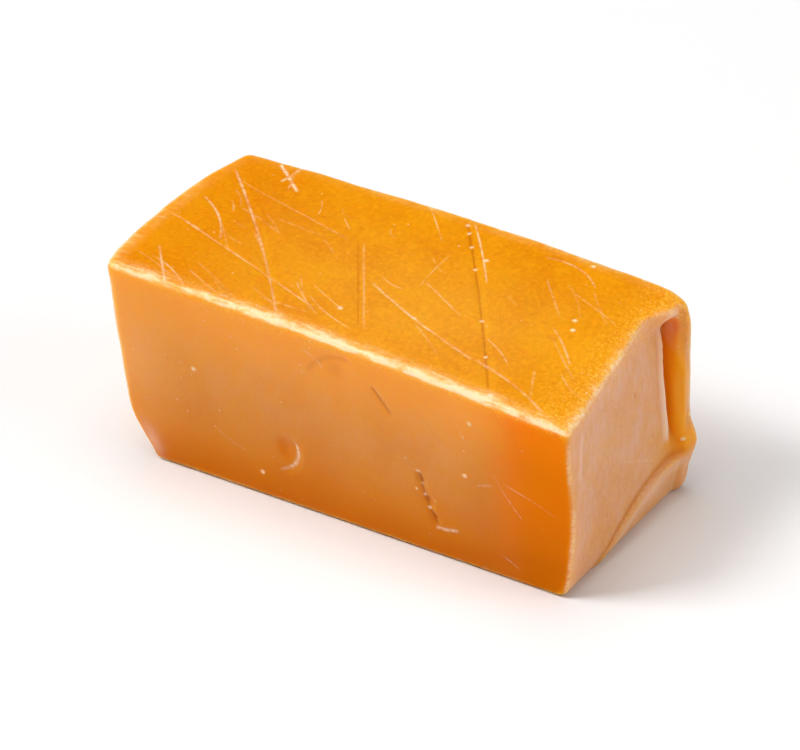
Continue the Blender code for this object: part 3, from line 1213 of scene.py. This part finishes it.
    def film_and_reflection(self) -> Numbers:
        """Weigh where a pale veil dulls the toffee, partly a wrapper coating and mostly a painted
        reflection of the pale floor: on the ends, and thinner on the near side.

        Returns:
            The weight.
        """
        x, _, z = self.squashed.T
        on_ends = np.where(x > 0.0, self.right_film_and_reflection * self.right_folds.filmed_and_reflecting(), self.left_film_and_reflection)
        near = self.near_film_and_reflection * Face.NEAR.facing(self.normals) * rise(x, 15.0, 7.0)
        near *= rise(z, 0.5, 8.5) * rise(z, 17.0, 8.0) * (1.0 - self.near_rim)
        return (on_ends * self.on_end + near) * (1.0 - self.fold_shade())

    def hollow(self) -> Numbers:
        """Weigh where the surface is hollow or ridged, against its own smoothed form, for painted shade in
        hollows and painted light on ridges.

        Returns:
            Up to 1 in hollows and down to -1 on ridges.
        """
        here, there = np.concatenate((self.edges, self.edges[:, ::-1])).T
        count = len(self.points)
        neighbours = np.bincount(here, minlength=count)[:, None]
        smoothed = self.points.copy()
        for _ in range(self.smoothing_rounds):
            sums = [np.bincount(here, smoothed[there, axis], count) for axis in range(3)]
            smoothed = 0.5 * smoothed + 0.5 * np.stack(sums, axis=1) / neighbours
        sunk = ((smoothed - self.points) * self.normals).sum(axis=1)
        return np.clip(sunk / self.full_hollow, -1.0, 1.0)


@dataclass
class ToffeeBar:
    """The bar of toffee, in millimetres: its square form, and how it was squashed.

    Each wave is a name, the size of its swells, and how far they rise and fall.
    """

    length: float = 35.6
    width: float = 15.9
    height: float = 14.2
    edge_radius: float = 0.6
    edge_steps: int = 5
    cuts: tuple[tuple[int, int], ...] = ((9, 16), (6, 14), (6, 13))
    corner_shifts: dict[tuple[int, int, int], Triple] = field(
        default_factory=lambda: {
            (-1, -1, -1): (1.5, 0.6, 0.0),
            (-1, -1, 1): (0.5, 0.3, 0.3),
            (-1, 1, -1): (1.1, -0.3, 0.0),
            (-1, 1, 1): (1.0, 0.0, 0.3),
            (1, -1, -1): (-1.3, 1.1, 0.0),
            (1, -1, 1): (-0.6, 0.2, -0.7),
            (1, 1, -1): (-1.0, -0.45, 0.0),
            (1, 1, 1): (-0.9, 0.0, 0.5),
        }
    )
    top_crown: float = 0.25
    far_swell: float = 0.4
    near_hollow: float = 0.3
    fold_reach: float = 6.5
    hub_swell: float = 0.5
    rubbed_corner: Triple = (0.23, 0.27, 0.34)
    rubbed_reach: float = 1.35
    pressed_flat: float = 0.12
    free_group: str = "free"
    free_steps: int = 10
    softening: float = 0.4
    waves: tuple[tuple[str, float, float], ...] = (("waves", 6.0, 0.16), ("dimples", 1.5, 0.045))
    marks: SurfaceMarks = field(default_factory=SurfaceMarks)
    finish: ToffeeFinish = ToffeeFinish()

    @property
    def size(self) -> Triple:
        """The square bar's length, width and height."""
        return self.length, self.width, self.height

    def build(self, centre: Vector) -> bpy.types.Object:
        """Make the finished toffee.

        Args:
            centre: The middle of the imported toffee's box, in metres.

        Returns:
            The toffee, at the origin, with its place in its mesh.
        """
        bar = self.add_block()
        square = self.read(bar)
        squashed = self.squash(square)
        self.write(bar, self.settle(self.fold_ends(squashed, square), centre))
        self.soften(bar)
        points, numbers = self.marks.engrave(self.read(bar), self.normals(bar))
        points[:, 2] = outside(points[:, 2])
        self.write(bar, points)
        weights = SurfaceWeights(self.size, points, square, squashed, self.normals(bar), self.edges(bar))
        for name, values in (numbers | weights.numbers()).items():
            self.keep(bar, name, values)
        bpy.ops.object.shade_smooth()
        bar.data.materials.append(self.finish.material())
        return bar

    def add_block(self) -> bpy.types.Object:
        """Make the square bar: a cube with rounded edges and its faces cut into a fine grid.

        Returns:
            The bar, standing on the floor at the origin.
        """
        bpy.ops.object.select_all(action="DESELECT")
        size = (self.length * MM, self.width * MM, self.height * MM)
        bpy.ops.mesh.primitive_cube_add(size=1.0, location=(0.0, 0.0, size[2] / 2), scale=size)
        bar = bpy.context.object
        bar.name = bar.data.name = "toffee_bar"
        bpy.ops.object.transform_apply(location=True, rotation=False, scale=True)
        bpy.ops.object.mode_set(mode="EDIT")
        bpy.ops.mesh.select_all(action="SELECT")
        bpy.ops.mesh.bevel(
            offset=self.edge_radius * MM, segments=self.edge_steps, profile=0.5, affect="EDGES"
        )
        for axis, steps in enumerate(self.cuts):
            for step in steps:
                self.cut_rings(bar, axis, step)
        bpy.ops.object.mode_set(mode="OBJECT")
        return bar

    def cut_rings(self, bar: bpy.types.Object, axis: int, cuts: int) -> None:
        """Cut every straight edge along one axis, with a grid between the cuts.

        Args:
            bar: The bar, in edit mode.
            axis: 0, 1 or 2 for x, y or z.
            cuts: How many cuts each edge gets.
        """
        middle = (0.0, 0.0, self.height * MM / 2)[axis]
        straight = (self.size[axis] / 2 - 0.9 * self.edge_radius) * MM
        bpy.context.tool_settings.mesh_select_mode = (False, True, False)
        bpy.ops.mesh.select_all(action="DESELECT")
        mesh = bmesh.from_edit_mesh(bar.data)
        for edge in mesh.edges:
            first, second = (vertex.co for vertex in edge.verts)
            run = second - first
            inside = abs((first[axis] + second[axis]) / 2 - middle) < straight
            edge.select_set(inside and abs(run[axis]) > 0.99 * run.length)
        bmesh.update_edit_mesh(bar.data)
        bpy.ops.mesh.subdivide(number_cuts=cuts)

    def squash(self, square: Numbers) -> Numbers:
        """Move the square bar's points to the squashed bar.

        Args:
            square: Rows of x, y and z on the square bar.

        Returns:
            Their places on the squashed bar.
        """
        x, y, z = square.T
        along = 2.0 * x / self.length
        across = 2.0 * y / self.width
        up = 2.0 * z / self.height - 1.0
        moved = square.copy()
        for (sign_x, sign_y, sign_z), shift in self.corner_shifts.items():
            share = (1 + sign_x * along) * (1 + sign_y * across) * (1 + sign_z * up) / 8
            moved += share[:, None] * np.array(shift)
        arch = 1.0 - along**2
        moved[:, 2] += self.top_crown * arch * (1.0 - 0.4 * across**2) * rise(up, -1.0, 1.0)
        moved[:, 1] += self.far_swell * arch * rise(across, -1.0, 1.0) * rise(up, -1.2, 0.6)
        moved[:, 1] += self.near_hollow * arch * rise(-across, -1.0, 1.0) * hump(up, 0.6, 1.0)
        return moved

    def fold_ends(self, points: Numbers, square: Numbers) -> Numbers:
        """Fold both ends in, and rub the far top corner of the right one round.

        Args:
            points: The squashed points.
            square: Their places on the square bar.

        Returns:
            The points with the folds.
        """
        folded = points.copy()
        _, y, z = points.T
        from_right = self.length / 2 - square[:, 0]
        from_left = self.length / 2 + square[:, 0]
        folded[:, 0] -= RightFolds(y, z).depth() * self.pull(from_right)
        folded[:, 0] += LeftFolds(y, z).depth() * self.pull(from_left)
        hub = hump(from_right, 0.0, 2.0) * hump(z, 3.6, 1.6) * rise(y, 5.0, 8.0)
        folded[:, 1] += self.hub_swell * hub
        corner = (self.length / 2, self.width / 2, self.height)
        rubbed = np.exp(-((square - corner) ** 2).sum(axis=1) / self.rubbed_reach**2)
        return folded - rubbed[:, None] * np.array(self.rubbed_corner)

    def pull(self, from_end: Numbers) -> Numbers:
        """Weigh how far an end's folds draw a point along, by its distance from that end."""
        return np.clip(1.0 - from_end / self.fold_reach, 0.0, 1.0) ** 2

    def settle(self, points: Numbers, centre: Vector) -> Numbers:
        """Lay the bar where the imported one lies, with its underside pressed flat.

        Args:
            points: The folded points.
            centre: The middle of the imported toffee's box, in metres.

        Returns:
            The points in their place.
        """
        low, high = points.min(axis=0), points.max(axis=0)
        shift = np.array((centre[0], centre[1], 0.0)) / MM - (low + high) / 2
        shift[2] = -low[2]
        settled = points + shift
        settled[:, 2] = outside(settled[:, 2] - self.pressed_flat)
        return settled

    def soften(self, bar: bpy.types.Object) -> None:
        """Soften the folds a little, and make all but the underside slightly uneven.

        Args:
            bar: The folded bar.
        """
        heights = self.read(bar)[:, 2]
        free = bar.vertex_groups.new(name=self.free_group)
        levels = np.ceil(self.free_steps * rise(heights, 0.2, 2.0))
        for level in range(1, self.free_steps + 1):
            free.add(np.flatnonzero(levels == level).tolist(), level / self.free_steps, "REPLACE")
        smooth = bar.modifiers.new("settled folds", "SMOOTH")
        smooth.factor = self.softening
        smooth.iterations = 1
        smooth.vertex_group = self.free_group
        bpy.ops.object.modifier_apply(modifier=smooth.name)
        for name, size, depth in self.waves:
            clouds = bpy.data.textures.new(name, "CLOUDS")
            clouds.noise_scale = size * MM
            waves = bar.modifiers.new(name, "DISPLACE")
            waves.texture = clouds
            waves.texture_coords = "LOCAL"
            waves.strength = depth * MM
            waves.mid_level = 0.5
            waves.vertex_group = self.free_group
            bpy.ops.object.modifier_apply(modifier=waves.name)

    @staticmethod
    def keep(bar: bpy.types.Object, name: str, values: Numbers) -> None:
        """Keep numbers or vectors at the mesh's vertices, under a name.

        Args:
            bar: The bar.
            name: What the finish calls them.
            values: One number or one row of three for each vertex.
        """
        kind, item = ("FLOAT", "value") if values.ndim == 1 else ("FLOAT_VECTOR", "vector")
        layer = bar.data.attributes.new(name, kind, "POINT")
        layer.data.foreach_set(item, values.astype(np.float32).ravel())

    @staticmethod
    def read(bar: bpy.types.Object) -> Numbers:
        """Read the mesh's points.

        Args:
            bar: The bar.

        Returns:
            Rows of x, y and z, in millimetres.
        """
        flat = np.empty(3 * len(bar.data.vertices))
        bar.data.vertices.foreach_get("co", flat)
        return flat.reshape(-1, 3) / MM

    @staticmethod
    def write(bar: bpy.types.Object, points: Numbers) -> None:
        """Move the mesh's points to rows of x, y and z, in millimetres."""
        bar.data.vertices.foreach_set("co", (points * MM).ravel())
        bar.data.update()

    @staticmethod
    def normals(bar: bpy.types.Object) -> Numbers:
        """Read the outward direction at each of the mesh's points.

        Args:
            bar: The bar.

        Returns:
            One direction a row.
        """
        flat = np.empty(3 * len(bar.data.vertices))
        bar.data.vertices.foreach_get("normal", flat)
        return flat.reshape(-1, 3)

    @staticmethod
    def edges(bar: bpy.types.Object) -> Numbers:
        """Read the mesh's edges.

        Args:
            bar: The bar.

        Returns:
            Rows of the two points that an edge joins.
        """
        flat = np.empty(2 * len(bar.data.edges), dtype=np.int32)
        bar.data.edges.foreach_get("vertices", flat)
        return flat.reshape(-1, 2)


@dataclass(frozen=True)
class Softbox:
    """A square studio light that points at the toffee, in metres and watts."""

    name: str
    direction: Triple
    distance: float
    size: float
    power: float

    def build(self) -> bpy.types.Object:
        """Add the light.

        Returns:
            The light.
        """
        light = bpy.data.lights.new(self.name, "AREA")
        light.size = self.size
        light.energy = self.power
        softbox = bpy.data.objects.new(self.name, light)
        bpy.context.scene.collection.objects.link(softbox)
        towards = Vector(self.direction).normalized()
        softbox.location = towards * self.distance
        softbox.rotation_euler = towards.to_track_quat("Z", "Y").to_euler()
        return softbox


@dataclass
class Studio:
    """A plain pale floor under soft boxes, in a dim surround that is pale at the horizon.

    The surround is given by its brightness at heights from 0, the horizon, to 1, overhead.
    """

    floor_size: float = 6.0
    floor_drop: float = 0.00002
    floor_colour: Colour = (0.88, 0.88, 0.88, 1.0)
    floor_roughness: float = 0.7
    softboxes: tuple[Softbox, ...] = (
        Softbox("key", (-0.47, -0.42, 0.80), distance=0.7, size=0.24, power=3.1),
        Softbox("overhead", (-0.12, 0.05, 1.0), distance=0.7, size=0.5, power=2.1),
        Softbox("fill", (0.80, 0.20, 0.50), distance=0.8, size=0.5, power=1.8),
    )
    surround: tuple[Place, ...] = ((0.0, 0.9), (0.08, 0.45), (0.25, 0.06), (0.75, 0.08), (1.0, 0.6))

    def build(self) -> None:
        """Add the floor, the lights and the surround."""
        self.add_floor()
        for softbox in self.softboxes:
            softbox.build()
        self.add_surround()
        bpy.context.scene.view_settings.view_transform = "Standard"

    def add_floor(self) -> bpy.types.Object:
        """Add the floor, just under what stands on it.

        Returns:
            The floor.
        """
        bpy.ops.object.select_all(action="DESELECT")
        bpy.ops.mesh.primitive_plane_add(size=self.floor_size, location=(0.0, 0.0, -self.floor_drop))
        floor = bpy.context.object
        floor.name = "floor"
        material = bpy.data.materials.new("pale floor")
        material.use_nodes = True
        shader = material.node_tree.nodes["Principled BSDF"]
        shader.inputs["Base Color"].default_value = self.floor_colour
        shader.inputs["Roughness"].default_value = self.floor_roughness
        floor.data.materials.append(material)
        return floor

    def add_surround(self) -> None:
        """Light the world softly, by the height above the horizon."""
        world = bpy.data.worlds.new("studio surround")
        world.use_nodes = True
        bpy.context.scene.world = world
        tree = world.node_tree
        direction = tree.nodes.new("ShaderNodeTexCoord").outputs["Generated"]
        split = tree.nodes.new("ShaderNodeSeparateXYZ")
        ramp = tree.nodes.new("ShaderNodeValToRGB")
        tree.links.new(direction, split.inputs[0])
        tree.links.new(split.outputs["Z"], ramp.inputs["Fac"])
        stops = ramp.color_ramp.elements
        while len(stops) < len(self.surround):
            stops.new(0.5)
        for stop, (height, light) in zip(stops, self.surround):
            stop.position = height
            stop.color = (light, light, light, 1.0)
        tree.links.new(ramp.outputs["Color"], tree.nodes["Background"].inputs["Color"])


@dataclass(frozen=True)
class PhotoCamera:
    """The photograph's viewpoint, in degrees and metres, drawn closer to the toffee.

    The azimuth is measured from straight in front of the near side, to the right. The lens
    and the sensor are in millimetres.
    """

    azimuth: float = 33.4
    elevation: float = 34.7
    roll: float = -1.64
    distance: float = 0.396
    lens: float = 280.0
    sensor: float = 36.0
    nearest: float = 0.01
    target: Triple = (0.0, 0.0, 0.0069)

    def build(self) -> bpy.types.Object:
        """Add the camera and look through it.

        Returns:
            The camera.
        """
        data = bpy.data.cameras.new("photo camera")
        data.sensor_fit = "HORIZONTAL"
        data.sensor_width = self.sensor
        data.lens = self.lens
        data.clip_start = self.nearest
        camera = bpy.data.objects.new("photo camera", data)
        bpy.context.scene.collection.objects.link(camera)
        camera.matrix_world = self.placement()
        bpy.context.scene.camera = camera
        return camera

    def placement(self) -> Matrix:
        """Work out where the camera stands and how it is turned.

        Returns:
            Its place and turn.
        """
        azimuth, elevation, roll = map(math.radians, (self.azimuth, self.elevation, self.roll))
        forward = math.cos(elevation)
        back = Vector((math.sin(azimuth) * forward, -math.cos(azimuth) * forward, math.sin(elevation)))
        right = Vector((math.cos(azimuth), math.sin(azimuth), 0.0))
        up = back.cross(right)
        turned_right = math.cos(roll) * right + math.sin(roll) * up
        turned_up = math.cos(roll) * up - math.sin(roll) * right
        turn = Matrix((turned_right, turned_up, back)).transposed().to_4x4()
        return Matrix.Translation(Vector(self.target) + back * self.distance) @ turn


def main() -> None:
    """Build the toffee, the studio and the camera."""
    logging.basicConfig(level=logging.INFO, format="%(message)s")
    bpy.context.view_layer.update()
    low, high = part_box(NODE)
    toffee = ToffeeBar().build((Vector(low) + Vector(high)) / 2)
    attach(toffee, "root")
    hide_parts(NODE)
    log.info("%s: %d faces", toffee.name, len(toffee.data.polygons))
    Studio().build()
    log.info("studio: floor, soft boxes and surround")
    PhotoCamera().build()
    log.info("camera: the photograph's viewpoint")


if __name__ == "__main__":
    main()
